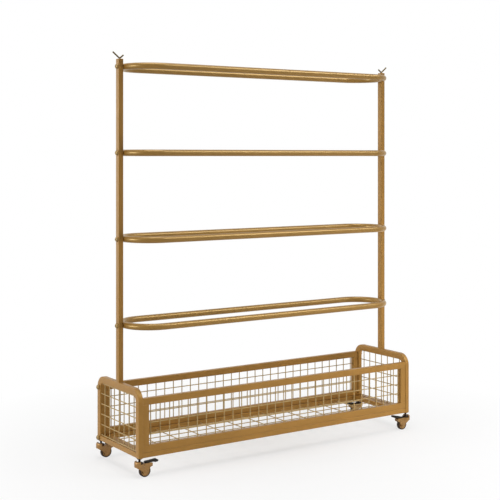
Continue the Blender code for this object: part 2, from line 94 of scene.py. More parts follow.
# Caster sizes shared with the CAD model, measured from the swivel axis towards the wheel
WHEEL_RADIUS = 0.022
WHEEL_WIDTH = 0.015
TYRE_THICKNESS = 0.0042
HUB_RECESS = 0.0015
HUB_BOSS = 0.0055
TRAIL = 0.0215
AXLE_RADIUS = 0.003
AXLE_HEAD_RADIUS = 0.005
AXLE_HEAD = 0.0015
CHEEK = 0.0025
CHEEK_END = 0.0110
CHEEK_FRONT = -0.012
CHEEK_WAIST = 0.036
CHEEK_BACK = 0.042
CHEEK_TAIL = 0.0505
CHEEK_TAIL_FOOT = 0.038
WHEEL_PLAY = 0.0003
ARCH_PLAY = 0.002
HOOD_RADIUS = 0.0195
HOOD_TOP = 0.060
HOOD_BOTTOM = 0.040
HOOD_SHOULDER_DROP = 0.005
HOOD_SHOULDER_INSET = 0.003
FORK_TOP = 0.0512
VISOR_EDGE = -0.004
RING_RADIUS = 0.0135
RING_TOP = 0.057
NECK_RADIUS = 0.0045
NUT_RADIUS = 0.0098
NUT_HEIGHT = 0.0035
STEM_RADIUS = 0.005
STEM_REACH = 0.0045
KINGPIN_RADIUS = 0.004
KINGPIN_END = 0.0475
SWIVEL_PLAY = 0.0009
PEDAL_PIVOT = (0.0275, 0.0478)
PEDAL_PIN_RADIUS = 0.0022
PEDAL_LUG = 0.0036
PEDAL_LUG_FOOT = 0.0108
PEDAL_WIDTH = 0.020
PEDAL_START = 0.0225
PEDAL_UNDER = 0.0526
PEDAL_PLATE = 0.0038
PEDAL_SLOPE = 0.004
PEDAL_LIFT = math.radians(8)
PEDAL_TOE = ((0.054, 0.0526), (0.061, 0.0502), (0.0715, 0.0515), (0.075, 0.0545),
             (0.0735, 0.0585), (0.068, 0.0598), (0.058, 0.0588))

# Places read from the CAD model
end_low, end_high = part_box("left_end_frame")
HALF_LENGTH = -end_low.x
HALF_DEPTH = end_high.y
LEG_X = HALF_LENGTH - TUBE_THIN / 2
LEG_Y = HALF_DEPTH - TUBE_WIDE / 2
BIN_FLOOR = end_low.z
END_TOP = end_high.z

# Finish of the looks' own edges and joints
TUBE_ROUND = 0.0012
NICK = 0.0004
EMBED = 0.0012
FINE = 64
WELD_RADIUS = 0.0016
WELD_RIPPLES = 7
WELD_RIPPLE = 0.14
WELD_STEPS = 8
WELD_TIP = 0.35
WELD_TAPER = 8
# Inset and distance below the top, around the edge of a post cap
CAP_EDGE = ((0.0, 0.0014), (0.0004, 0.0006), (0.0014, 0.0))
# Share of the rod's radius and of the tip's length, from the end of a hook inwards
HOOK_TIP = ((0.35, 0.0), (0.75, 0.32), (0.93, 0.62), (1.0, 1.0))
HOOK_TIP_LENGTH = 0.0018

# Bolt heads
BOLT_CROWN = 0.0042
BOLT_LIP = 0.0006
BOLT_DOME_STEPS = 9
BOLT_DOME_FULLNESS = 0.9
BOLT_SHANK_SHOWN = 0.004
BOLT_SOCKET = 0.0034
BOLT_SOCKET_DEPTH = 0.0035
BOLT_SOCKET_INSET = 0.0002
BOLT_SOCKET_CHAMFER = 0.0003

# Casters
CASTER_GAP = 0.0003
FAR = 0.1
NUT_CHAMFER = 0.0006
NUT_CUT = 0.92
THREAD_PITCH = 0.00125
THREAD_DEPTH = 0.0006
THREAD_STEPS = 6
THREAD_SIDES = 32
KINGPIN_TIP_INSET = 0.0012
RING_CHAMFER = 0.0008
RING_SEAM_DEPTH = 0.0006
RING_SEAM_HALF = 0.0004
# Inset from the ring's edge, and distance below its top
RING_SHOULDER = ((0.0, 0.0018), (0.0004, 0.0010), (0.0013, 0.0006))
# Radius of the raised collar on the ring, and distance below its top
RING_COLLAR = ((0.0078, 0.0005), (0.0070, 0.0))
FORK_SOFT = 0.0005
CHEEK_ROUND = 0.004
CHEEK_HOLE = (0.036, 0.0355)
CHEEK_HOLE_RADIUS = 0.0014
RIVET = (0.0446, 0.0440)
# Radius, and height over the cheek
RIVET_HEAD = ((0.0016, 0.0009), (0.0024, 0.0006), (0.0027, 0.0))
# Radius, and share of the head's height
AXLE_DOME = ((0.0030, 1.0), (0.0043, 0.8), (AXLE_HEAD_RADIUS, 0.4), (AXLE_HEAD_RADIUS, 0.0),
             (AXLE_RADIUS, 0.0))
WHEEL_SIDES = 96
TYRE_DROP = 0.0022
TYRE_INSET = 0.0026
TYRE_GROOVE = 0.00025
HUB_LIP = 0.0018
HUB_SOFT = 0.0003
HUB_EDGE = 0.0004
HUB_DRAFT = 0.0002
HUB_FILLET = 0.0007
HUB_STEP = 0.0008
PEDAL_SOFT = 0.0008
PEDAL_ROUND = 0.003
PEDAL_PIN_PROUD = 0.0005
PEDAL_PIN_INSET = 0.0005
PEDAL_PIN_CHAMFER = 0.0004
RIB_COUNT = 4
RIB_START = 0.0585
RIB_PITCH = 0.0027
RIB_WIDTH = 0.0011
RIB_MARGIN = 0.0025
RIB_CORNER = 0.0002
# Share of the rib's width, and height over the pedal
RIB_SECTIONS = ((1.0, -0.0010), (1.0, 0.0002), (0.55, 0.0005))

# Coats
FLECK_SCALE = 1900.0
FLECK_LIGHT = 1.6
SMUDGE_SCALE = 48.0
# Where the lighter edge colour, partly wear and partly painted highlight, begins and is full
EDGE_START = 0.995
EDGE_FULL = 0.93

# Studio
FLOOR_HALF = 12.0
FLOOR_TONE = (0.93, 0.93, 0.93)
WHITE_START = 0.46
WHITE_DISTANCE = 1.5
BOUNCE_CENTRE = (0.1, -0.6, 0.0)
BOUNCE_NEAR = 0.9
BOUNCE_FAR = 1.7
BOUNCE_LEAST = 0.12
WHITE = (1.0, 1.0, 1.0, 1.0)


# Materials

def add_node(tree, kind, inputs=None, **settings):
    """A node with its settings and its inputs, each of them a value or another node's output."""
    made = tree.nodes.new(kind)
    for key, value in settings.items():
        setattr(made, key, value)
    for socket, value in (inputs or {}).items():
        if isinstance(value, bpy.types.NodeSocket):
            tree.links.new(value, made.inputs[socket])
        else:
            made.inputs[socket].default_value = value
    return made


def blend_colour(tree, factor, one, other):
    """Mixes two colours, each of them a triple or another node's output."""
    made = add_node(tree, "ShaderNodeMix", data_type="RGBA")
    tree.links.new(factor, made.inputs[0])
    for socket, value in ((6, one), (7, other)):
        if isinstance(value, bpy.types.NodeSocket):
            tree.links.new(value, made.inputs[socket])
        else:
            made.inputs[socket].default_value = (*value, 1.0)
    return made.outputs[2]


def ranged(tree, value, from_low, from_high, to_low, to_high):
    made = add_node(tree, "ShaderNodeMapRange", {
        "Value": value, "From Min": from_low, "From Max": from_high, "To Min": to_low, "To Max": to_high,
    })
    return made.outputs["Result"]


def scaled(colour, factor):
    return tuple(part * factor for part in colour)


def finish(name, colour, metallic, roughness, *, specular=0.5, tint=(1.0, 1.0, 1.0), tone=0.08, cloud=9,
           grain=650, depth=0.00004, spread=0.06, fleck=0.05, edge=None, edge_width=0.0010):
    """A coated surface: drifting tone, fine grain, uneven gloss, small flecks, and lighter edges that are
    partly paint worn thin and partly a painted highlight.
    """
    material = bpy.data.materials.new(name)
    material.use_nodes = True
    tree = material.node_tree
    shader = tree.nodes["Principled BSDF"]
    place = add_node(tree, "ShaderNodeTexCoord").outputs["Object"]
    drift = add_node(tree, "ShaderNodeTexNoise",
                     {"Vector": place, "Scale": cloud, "Detail": 4.0, "Roughness": 0.6})
    base = blend_colour(tree, ranged(tree, drift.outputs["Fac"], 0.35, 0.65, 0.0, 1.0),
                        scaled(colour, 1 - tone), scaled(colour, 1 + tone))
    if fleck:
        cells = add_node(tree, "ShaderNodeTexVoronoi", {"Vector": place, "Scale": FLECK_SCALE})
        one = add_node(tree, "ShaderNodeSeparateColor", {"Color": cells.outputs["Color"]})
        share = ranged(tree, one.outputs["Red"], 0.0, 1.0, 0.0, 2 * fleck)
        base = blend_colour(tree, share, base, scaled(colour, FLECK_LIGHT))
    smudge = add_node(tree, "ShaderNodeTexNoise",
                      {"Vector": place, "Scale": SMUDGE_SCALE, "Detail": 6.0, "Roughness": 0.7})
    gloss = ranged(tree, smudge.outputs["Fac"], 0.3, 0.7, roughness - spread, roughness + spread)
    # Lighter edge colour: partly paint worn thin, partly a painted highlight along the edges.
    if edge:
        soft = add_node(tree, "ShaderNodeBevel", {"Radius": edge_width}, samples=6)
        flat = add_node(tree, "ShaderNodeNewGeometry")
        likeness = add_node(tree, "ShaderNodeVectorMath",
                            {0: soft.outputs["Normal"], 1: flat.outputs["Normal"]}, operation="DOT_PRODUCT")
        edge_wear_and_painted_highlight = ranged(tree, likeness.outputs["Value"], EDGE_START, EDGE_FULL, 0.0, 1.0)
        patches = ranged(tree, smudge.outputs["Fac"], 0.38, 0.62, 0.2, 0.9)
        share = add_node(tree, "ShaderNodeMath", {0: edge_wear_and_painted_highlight, 1: patches}, operation="MULTIPLY")
        base = blend_colour(tree, share.outputs[0], base, edge)
    tree.links.new(base, shader.inputs["Base Color"])
    tree.links.new(gloss, shader.inputs["Roughness"])
    shader.inputs["Metallic"].default_value = metallic
    shader.inputs["Specular IOR Level"].default_value = specular
    shader.inputs["Specular Tint"].default_value = (*tint, 1.0)
    peel = add_node(tree, "ShaderNodeTexNoise", {"Vector": place, "Scale": grain, "Detail": 2.0})
    bump = add_node(tree, "ShaderNodeBump",
                    {"Height": peel.outputs["Fac"], "Strength": 1.0, "Distance": depth})
    tree.links.new(bump.outputs["Normal"], shader.inputs["Normal"])
    return material


BRASS_GLINT = (1.0, 0.88, 0.48)
# Each edge colour here is lighter than its base: partly paint worn thin, partly a painted highlight on the
# edges.
PAINT = finish("satin_gold_paint", (0.330, 0.163, 0.035), 0.05, 0.40, specular=0.5, tint=BRASS_GLINT,
               tone=0.06, depth=0.00003, fleck=0.03, edge=(0.46, 0.27, 0.09))
LOOP_PAINT = finish("satin_gold_loops", (0.295, 0.152, 0.032), 0.12, 0.30, specular=0.7, tint=BRASS_GLINT,
                    tone=0.04, depth=0.000005, spread=0.02, fleck=0.01)
HOOK_PAINT = finish("gold_hooks", (0.110, 0.068, 0.014), 0.10, 0.40, specular=0.3, tint=BRASS_GLINT,
                    cloud=40)
# The wires have the frame's gold paint; this paler colour is a painted sheen for the highlights the thin
# wires catch.
WIRE_PAINT_WITH_PAINTED_SHEEN = finish("gold_wire", (0.400, 0.275, 0.120), 0.20, 0.42, specular=0.5, tint=BRASS_GLINT,
                    cloud=25)
BOLT_PAINT = finish("gold_bolts", (0.300, 0.190, 0.060), 0.40, 0.36, cloud=60, edge=(0.46, 0.33, 0.14))
CASTER_PAINT = finish("gold_caster_plating", (0.310, 0.165, 0.050), 0.45, 0.32, cloud=60, spread=0.10,
                      edge=(0.46, 0.30, 0.12), edge_width=0.0008)
DARK_STEEL = finish("dark_oiled_steel", (0.024, 0.012, 0.007), 0.45, 0.42, specular=0.3, cloud=80,
                    edge=(0.09, 0.06, 0.035), edge_width=0.0006)
RUBBER = finish("tyre_rubber", (0.034, 0.019, 0.010), 0.0, 0.72, specular=0.25, cloud=70, grain=900,
                depth=0.00008, fleck=0.02, edge=(0.055, 0.036, 0.022), edge_width=0.0008)
PLASTIC = finish("moulded_plastic", (0.010, 0.008, 0.006), 0.0, 0.50, specular=0.28, cloud=50, grain=1600,
                 depth=0.00005, fleck=0.0, edge=(0.030, 0.028, 0.027), edge_width=0.0006)


# Mesh making

def finish_piece(shape, name, material, body, nodes=(), sharp=35, matrix=None):
    """Turns a shape into a smooth-shaded piece that rides on a body and stands for its CAD nodes."""
    bmesh.ops.recalc_face_normals(shape, faces=shape.faces)
    mesh = bpy.data.meshes.new(name)
    shape.to_mesh(mesh)
    shape.free()
    if matrix:
        mesh.transform(matrix)
    mesh.shade_smooth()
    mesh.set_sharp_from_angle(angle=math.radians(sharp))
    piece = bpy.data.objects.new(name, mesh)
    bpy.context.scene.collection.objects.link(piece)
    mesh.materials.append(material)
    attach(piece, body)
    if nodes:
        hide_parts(*nodes)


def add_rings(shape, rings, closed=False):
    """Joins rings of points side by side. An open run gets a flat face at each end."""
    loops = [[shape.verts.new(point) for point in ring] for ring in rings]
    pairs = list(zip(loops, loops[1:]))
    if closed:
        pairs.append((loops[-1], loops[0]))
    else:
        shape.faces.new(loops[0])
        shape.faces.new(loops[-1])
    for one, other in pairs:
        for i in range(len(one)):
            j = (i + 1) % len(one)
            shape.faces.new((one[i], one[j], other[j], other[i]))


def round_points(radius, sides=FINE):
    angles = [2 * math.pi * i / sides for i in range(sides)]
    return [(radius * math.cos(a), radius * math.sin(a)) for a in angles]


def hexagon_points(radius, limit, sides=36):
    """A hexagon with that radius at its corners, which are cut off at a limit."""
    points = []
    for x, y in round_points(1, sides):
        turn = (math.atan2(y, x) + math.pi / 6) % (math.pi / 3) - math.pi / 6
        reach = min(radius * math.cos(math.pi / 6) / math.cos(turn), limit)
        points.append((reach * x, reach * y))
    return points


def box_points(width, height, corner=TUBE_ROUND, steps=4):
    """A rectangle with rounded corners, as points across and along."""
    points = []
    for quarter, (sx, sy) in enumerate(((1, 1), (-1, 1), (-1, -1), (1, -1))):
        cx, cy = sx * (width / 2 - corner), sy * (height / 2 - corner)
        for i in range(steps + 1):
            a = math.pi / 2 * (quarter + i / steps)
            points.append((cx + corner * math.cos(a), cy + corner * math.sin(a)))
    return points


def arc(centre, radius, start, end, steps):
    angles = [start + (end - start) * i / steps for i in range(steps + 1)]
    return [(centre[0] + radius * math.cos(a), centre[1] + radius * math.sin(a)) for a in angles]


def rounded(outline, radius, steps=4):
    """The outline with its clear corners rounded."""
    points = []
    for i, corner in enumerate(outline):
        corner = Vector(corner)
        back = Vector(outline[i - 1]) - corner
        on = Vector(outline[(i + 1) % len(outline)]) - corner
        if back.angle(on) > math.radians(155):
            points.append(tuple(corner))
            continue
        cut = min(radius / math.tan(back.angle(on) / 2), 0.45 * back.length, 0.45 * on.length)
        start, end = corner + back.normalized() * cut, corner + on.normalized() * cut
        for step in range(steps + 1):
            t = step / steps
            points.append(tuple(start * (1 - t) ** 2 + corner * 2 * t * (1 - t) + end * t ** 2))
    return points


def add_sweep(shape, path, normal, section, closed):
    """A section carried along a flat path and mitred at each of its points."""
    normal = Vector(normal)
    points = [Vector(point) for point in path]
    rings = []
    for i, point in enumerate(points):
        before = points[i - 1] if closed or i > 0 else None
        after = points[(i + 1) % len(points)] if closed or i < len(points) - 1 else None
        into = (point - before).normalized() if before else (after - point).normalized()
        out = (after - point).normalized() if after else into
        side = (into + out).normalized().cross(normal)
        stretch = 1 / side.dot(into.cross(normal))
        rings.append([point + side * across * stretch + normal * along for across, along in section])
    add_rings(shape, rings, closed)


def add_bar(shape, centre, size, axis):
    """A straight bar of rounded box section along one axis, its ends nicked so that a butt joint shows."""
    others = [i for i in range(3) if i != axis]
    half = size[axis] / 2
    rings = []
    for end, inset in ((-half, NICK), (NICK - half, 0), (half - NICK, 0), (half, NICK)):
        ring = []
        for a, b in box_points(size[others[0]] - 2 * inset, size[others[1]] - 2 * inset):
            point = [0, 0, 0]
            point[axis] = centre[axis] + end
            point[others[0]] = centre[others[0]] + a
            point[others[1]] = centre[others[1]] + b
            ring.append(point)
        rings.append(ring)
    add_rings(shape, rings)


def add_wire(shape, start, end):
    """A straight round wire."""
    start, end = Vector(start), Vector(end)
    turn = (end - start).to_track_quat("Z", "Y")
    section = round_points(WIRE / 2, 12)
    add_rings(shape, [[foot + turn @ Vector((x, y, 0)) for x, y in section] for foot in (start, end)])


def add_turned(shape, profile, matrix=Matrix(), closed=False, sides=FINE):
    """A profile of radius and height turned around the matrix's Z."""
    rings = []
    for radius, height in profile:
        rings.append([matrix @ Vector((x, y, height)) for x, y in round_points(radius, sides)])
    add_rings(shape, rings, closed)


def add_weld(shape, start, end):
    """A short rippled bead of weld metal between two points, its ends tapered."""
    start, end = Vector(start), Vector(end)
    turn = (end - start).to_track_quat("Z", "Y")
    rings = []
    steps = WELD_STEPS * WELD_RIPPLES
    for i in range(steps + 1):
        t = i / steps
        ripple = 1 - WELD_RIPPLE * abs(math.sin(math.pi * WELD_RIPPLES * t))
        taper = min(1, WELD_TIP + WELD_TAPER * t, WELD_TIP + WELD_TAPER * (1 - t))
        centre = start.lerp(end, t)
        section = round_points(WELD_RADIUS * ripple * taper, 16)
        rings.append([centre + turn @ Vector((x, y, 0)) for x, y in section])
    add_rings(shape, rings)


def both_sides(profile):
    """A turned profile followed by its mirror image. A point at height 0 isn't repeated."""
    return profile + [(radius, -height) for radius, height in reversed(profile) if height]


def shoulder(radius, height, inset, drop, steps=8):
    """The quarter-round edge of a turned form, from its outside up to its end."""
    points = []
    for i in range(steps + 1):
        a = math.pi / 2 * i / steps
        points.append((radius - inset * (1 - math.cos(a)), height - drop * (1 - math.sin(a))))
    return points


def slab(outline, width):
    """An outline in X and Z carried along Y, equal amounts each way."""
    shape = bmesh.new()
    add_rings(shape, [[(x, y, z) for x, z in outline] for y in (-width / 2, width / 2)])
    return shape


def turned(profile, matrix=Matrix()):
    shape = bmesh.new()
    add_turned(shape, profile, matrix)
    return shape


def carved(shape, steps, soften):
    """The shape after it is joined with and cut by others in turn, its sharp edges softened."""
    things = []
    for part in [shape] + [tool for _, tool in steps]:
        bmesh.ops.recalc_face_normals(part, faces=part.faces)
        mesh = bpy.data.meshes.new("carving")
        part.to_mesh(mesh)
        part.free()
        things.append(bpy.data.objects.new("carving", mesh))
        bpy.context.scene.collection.objects.link(things[-1])
    body = things[0]
    for (operation, _), thing in zip(steps, things[1:]):
        step = body.modifiers.new("carve", "BOOLEAN")
        step.operation = operation
        step.solver = "EXACT"
        step.object = thing
    bevel = body.modifiers.new("soften", "BEVEL")
    bevel.width = soften
    bevel.segments = 2
    bevel.limit_method = "ANGLE"
    bevel.angle_limit = math.radians(32)
    made = bmesh.new()
    made.from_object(body, bpy.context.evaluated_depsgraph_get())
    for thing in things:
        bpy.data.objects.remove(thing, do_unlink=True)
    return made


# Bin

def end_frame(name, side):
    """A tube bent over from one foot to the other, and the foot bar between its legs."""
    shape = bmesh.new()
    radius = END_CORNER - TUBE_WIDE / 2
    centre_y, centre_z = HALF_DEPTH - END_CORNER, END_TOP - END_CORNER
    right = arc((centre_y, centre_z), radius, 0, math.pi / 2, 20)
    left = arc((-centre_y, centre_z), radius, math.pi / 2, math.pi, 20)
    outline = [(LEG_Y, BIN_FLOOR)] + right + left + [(-LEG_Y, BIN_FLOOR)]
    path = [(side * LEG_X, y, z) for y, z in outline]
    add_sweep(shape, path, (1, 0, 0), box_points(TUBE_WIDE, TUBE_THIN), False)
    add_bar(shape, (side * LEG_X, 0, BIN_FLOOR + TUBE_THIN / 2),
            (TUBE_THIN, 2 * (HALF_DEPTH - TUBE_WIDE), TUBE_THIN), 1)
    finish_piece(shape, name + "_end_tube", PAINT, RACK, [name + "_end_frame"])


def end_mesh(name, side):
    """Upright wires on the inside and level wires on the outside, each let into the end frame's tube."""
    shape = bmesh.new()
    plane = side * (HALF_LENGTH - END_MESH_INSET)
    outward = side * (WIRE - WELD_DEPTH) / 2
    inner = END_CORNER - TUBE_WIDE
    corner_y, corner_z = HALF_DEPTH - END_CORNER, END_TOP - END_CORNER
    low = BIN_FLOOR + TUBE_THIN - EMBED
    for i in range(END_UPRIGHTS):
        y = (i - (END_UPRIGHTS - 1) / 2) * WIRE_SPACING
        past = max(0, abs(y) - corner_y)
        high = corner_z + math.sqrt(inner ** 2 - past ** 2) + EMBED
        add_wire(shape, (plane - outward, y, low), (plane - outward, y, high))
    for i in range(END_BARS):
        z = END_FIRST_BAR + i * WIRE_SPACING
        past = max(0, z - corner_z)
        reach = corner_y + math.sqrt(inner ** 2 - past ** 2) + EMBED
        add_wire(shape, (plane + outward, -reach, z), (plane + outward, reach, z))
    finish_piece(shape, name + "_end_wires", WIRE_PAINT_WITH_PAINTED_SHEEN, RACK, [name + "_end_mesh"])


def panel(name, side):
    """Rails along the whole panel with stiles between them, and round welded wires."""
    low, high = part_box(name + "_frame")
    y = (low.y + high.y) / 2
    length, height = high.x - low.x, high.z - low.z
    shape = bmesh.new()
    for z in (low.z + TUBE_WIDE / 2, high.z - TUBE_WIDE / 2):
        add_bar(shape, (0, y, z), (length, TUBE_THIN, TUBE_WIDE), 0)
    for x in (low.x + TUBE_WIDE / 2, high.x - TUBE_WIDE / 2):
        add_bar(shape, (x, y, (low.z + high.z) / 2), (TUBE_WIDE, TUBE_THIN, height - 2 * TUBE_WIDE), 2)
    finish_piece(shape, name + "_tubes", PAINT, RACK, [name + "_frame"])

    wires = bmesh.new()
    outward = side * (WIRE - WELD_DEPTH) / 2
    foot, head = low.z + TUBE_WIDE - EMBED, high.z - TUBE_WIDE + EMBED
    for i in range(PANEL_UPRIGHTS):
        x = (i - (PANEL_UPRIGHTS - 1) / 2) * WIRE_SPACING
        add_wire(wires, (x, y + outward, foot), (x, y + outward, head))
    reach = length / 2 - TUBE_WIDE + EMBED
    for i in range(PANEL_BARS):
        z = PANEL_FIRST_BAR + i * PANEL_BAR_SPACING
        add_wire(wires, (-reach, y - outward, z), (reach, y - outward, z))
    finish_piece(wires, name + "_wires", WIRE_PAINT_WITH_PAINTED_SHEEN, RACK, [name + "_mesh"])


def floor():
    """A flat-lying tube frame, mitred at its corners, and the wires that carry the load."""
    low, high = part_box("floor_frame")
    level = (low.z + high.z) / 2
    half_x, half_y = high.x - TUBE_WIDE / 2, high.y - TUBE_WIDE / 2
    corners = [(x * half_x, y * half_y, level) for x, y in ((-1, -1), (1, -1), (1, 1), (-1, 1))]
    shape = bmesh.new()
    add_sweep(shape, corners, (0, 0, 1), box_points(TUBE_WIDE, TUBE_THIN), True)
    finish_piece(shape, "floor_tubes", PAINT, RACK, ["floor_frame"])

    wires = bmesh.new()
    lift = (WIRE - WELD_DEPTH) / 2
    inner_x, inner_y = half_x - TUBE_WIDE / 2, half_y - TUBE_WIDE / 2
    for i in range(1, FLOOR_LONG_WIRES + 1):
        y = -inner_y + 2 * inner_y * i / (FLOOR_LONG_WIRES + 1)
        add_wire(wires, (-inner_x - EMBED, y, level + lift), (inner_x + EMBED, y, level + lift))
    for i in range(1, FLOOR_CROSS_WIRES + 1):
        x = -inner_x + 2 * inner_x * i / (FLOOR_CROSS_WIRES + 1)
        add_wire(wires, (x, -inner_y - EMBED, level - lift), (x, inner_y + EMBED, level - lift))
    finish_piece(wires, "floor_wires", WIRE_PAINT_WITH_PAINTED_SHEEN, RACK, ["floor_mesh"])


# Posts, shelves, hooks and bolts

def post(name, side):
    """A post welded to the end frame along its front and rear faces, and the cap in its top."""
    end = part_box(name + "_post")[1].z
    x = side * LEG_X
    shape = bmesh.new()
    add_bar(shape, (x, 0, (END_TOP + end) / 2), (TUBE_THIN, TUBE_WIDE, end - END_TOP), 2)
    bead = TUBE_THIN / 2 - WELD_RADIUS
    for y in (-TUBE_WIDE / 2, TUBE_WIDE / 2):
        add_weld(shape, (x - bead, y, END_TOP), (x + bead, y, END_TOP))
    finish_piece(shape, name + "_post_tube", PAINT, RACK, [name + "_post"])

    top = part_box(name + "_post_cap")[1].z
    cap = bmesh.new()
    rings = []
    for inset, z in [(NICK, end), (0, end + NICK)] + [(inset, top - below) for inset, below in CAP_EDGE]:
        section = box_points(TUBE_THIN - 2 * inset, TUBE_WIDE - 2 * inset)
        rings.append([(x + a, b, z) for a, b in section])
    add_rings(cap, rings)
    finish_piece(cap, name + "_post_end_cap", PAINT, RACK, [name + "_post_cap"])


def hook(name, side):
    """A bent round rod with rounded tips."""
    radius = HOOK_ROD / 2
    lift = HOOK_BEND / math.cos(HOOK_SLOPE)
    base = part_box(name + "_hook")[0].z + radius - (lift - HOOK_BEND)
    outer = (side * HOOK_OUTER_ARM * math.cos(HOOK_SLOPE), HOOK_OUTER_ARM * math.sin(HOOK_SLOPE))
    inner = (-side * HOOK_INNER_ARM * math.cos(HOOK_SLOPE), HOOK_INNER_ARM * math.sin(HOOK_SLOPE))
    bend = arc((0, lift), HOOK_BEND, -math.pi / 2 + side * HOOK_SLOPE, -math.pi / 2 - side * HOOK_SLOPE, 10)
    path = [Vector((side * LEG_X + a, 0, base + b)) for a, b in [outer] + bend + [inner]]
    normal = Vector((0, 1, 0))
    rings = []
    for i, point in enumerate(path):
        into = (path[i] - path[i - 1]).normalized() if i else (path[1] - path[0]).normalized()
        out = (path[i + 1] - path[i]).normalized() if i < len(path) - 1 else into
        along = (into + out).normalized()
        stations = [(1, 0)]
        if i == 0:
            stations = [(share, ahead * HOOK_TIP_LENGTH) for share, ahead in HOOK_TIP]
        if i == len(path) - 1:
            stations = [(share, -ahead * HOOK_TIP_LENGTH) for share, ahead in reversed(HOOK_TIP)]
        for share, ahead in stations:
            centre = point + along * ahead
            rings.append([centre + (along.cross(normal) * a + normal * b) * share
                          for a, b in round_points(radius, 20)])
    shape = bmesh.new()
    add_rings(shape, rings)
    finish_piece(shape, name + "_hook_rod", HOOK_PAINT, RACK, [name + "_hook"], sharp=60)


def shelf_loop(number):
    node = "shelf_loop_%d" % number
    low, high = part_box(node)
    radius = (high.z - low.z) / 2
    bend = high.y - radius
    reach = high.x - radius - bend
    right = arc((reach, 0), bend, -math.pi / 2, math.pi / 2, 40)
    left = arc((-reach, 0), bend, math.pi / 2, 3 * math.pi / 2, 40)
    path = [(x, y, (low.z + high.z) / 2) for x, y in right + left]
    shape = bmesh.new()
    add_sweep(shape, path, (0, 0, 1), round_points(radius, 28), True)
    finish_piece(shape, node + "_tube", LOOP_PAINT, RACK, [node])


def bolt_head(node, side):
    """A domed head with a six-sided socket, on its shank."""
    low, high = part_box(node)
    place = Matrix.Translation((side * HALF_LENGTH, (low.y + high.y) / 2, (low.z + high.z) / 2))
    matrix = place @ Matrix.Rotation(side * math.pi / 2, 4, "Y")
    height, dome = BOLT_HEAD_HEIGHT, BOLT_HEAD_RADIUS - BOLT_CROWN
    profile = [(BOLT_SHANK_RADIUS, -BOLT_SHANK_SHOWN), (BOLT_SHANK_RADIUS, 0), (BOLT_HEAD_RADIUS - NICK, 0),
               (BOLT_HEAD_RADIUS, NICK)]
    for i in range(1, BOLT_DOME_STEPS):
        a = math.pi / 2 * i / BOLT_DOME_STEPS
        profile.append((BOLT_CROWN + dome * math.cos(a) ** BOLT_DOME_FULLNESS,
                        BOLT_LIP + (height - BOLT_LIP) * math.sin(a)))
    profile.append((BOLT_CROWN, height))
    rings = [[(x, y, level) for x, y in round_points(radius, 36)] for radius, level in profile]
    narrow = BOLT_SOCKET - BOLT_SOCKET_INSET
    for radius, level in ((BOLT_SOCKET, height), (narrow, height - BOLT_SOCKET_CHAMFER),
                          (narrow, height - BOLT_SOCKET_DEPTH)):
        rings.append([(x, y, level) for x, y in hexagon_points(radius, radius)])
    shape = bmesh.new()
    add_rings(shape, [[matrix @ Vector(point) for point in ring] for ring in rings])
    finish_piece(shape, node + "_head", BOLT_PAINT, RACK, [node])


# Casters

def caster_stem(name, x, y):
    """A stud through a six-sided nut, a threaded neck and a pressed bearing ring on its kingpin."""
    shape = bmesh.new()
    nut_top = BIN_FLOOR - CASTER_GAP
    nut_low = nut_top - NUT_HEIGHT
    add_turned(shape, [(STEM_RADIUS, nut_low), (STEM_RADIUS, BIN_FLOOR + STEM_REACH)])
    rings = []
    for limit, z in ((NUT_CUT, nut_low), (1, nut_low + NUT_CHAMFER), (1, nut_top - NUT_CHAMFER),
                     (NUT_CUT, nut_top)):
        rings.append([(a, b, z) for a, b in hexagon_points(NUT_RADIUS, limit * NUT_RADIUS)])
    add_rings(shape, rings)
    rows = int((nut_low - RING_TOP) / THREAD_PITCH * THREAD_STEPS) + 2
    past = THREAD_PITCH / THREAD_STEPS
    rings = []
    for row in range(rows):
        z = RING_TOP - past + (nut_low - RING_TOP + 2 * past) * row / (rows - 1)
        ring = []
        for i, (a, b) in enumerate(round_points(1, THREAD_SIDES)):
            phase = (z / THREAD_PITCH - i / THREAD_SIDES) % 1
            radius = NECK_RADIUS - THREAD_DEPTH * abs(2 * phase - 1)
            ring.append((radius * a, radius * b, z))
        rings.append(ring)
    add_rings(shape, rings)
    foot = FORK_TOP + CASTER_GAP
    seam = (foot + RING_TOP) / 2
    profile = [
        (KINGPIN_RADIUS - KINGPIN_TIP_INSET, KINGPIN_END), (KINGPIN_RADIUS, KINGPIN_END + RING_CHAMFER),
        (KINGPIN_RADIUS, foot), (RING_RADIUS - RING_CHAMFER, foot), (RING_RADIUS, foot + RING_CHAMFER),
        (RING_RADIUS, seam - RING_SEAM_HALF), (RING_RADIUS - RING_SEAM_DEPTH, seam),
        (RING_RADIUS, seam + RING_SEAM_HALF),
    ]
    profile += [(RING_RADIUS - inset, RING_TOP - below) for inset, below in RING_SHOULDER]
    profile += [(radius, RING_TOP - below) for radius, below in RING_COLLAR]
    add_turned(shape, profile + [(NECK_RADIUS - THREAD_DEPTH, RING_TOP)])
    finish_piece(shape, name + "_caster_stem", DARK_STEEL, RACK, [name + "_stem"],
                 matrix=Matrix.Translation((x, y, 0)))


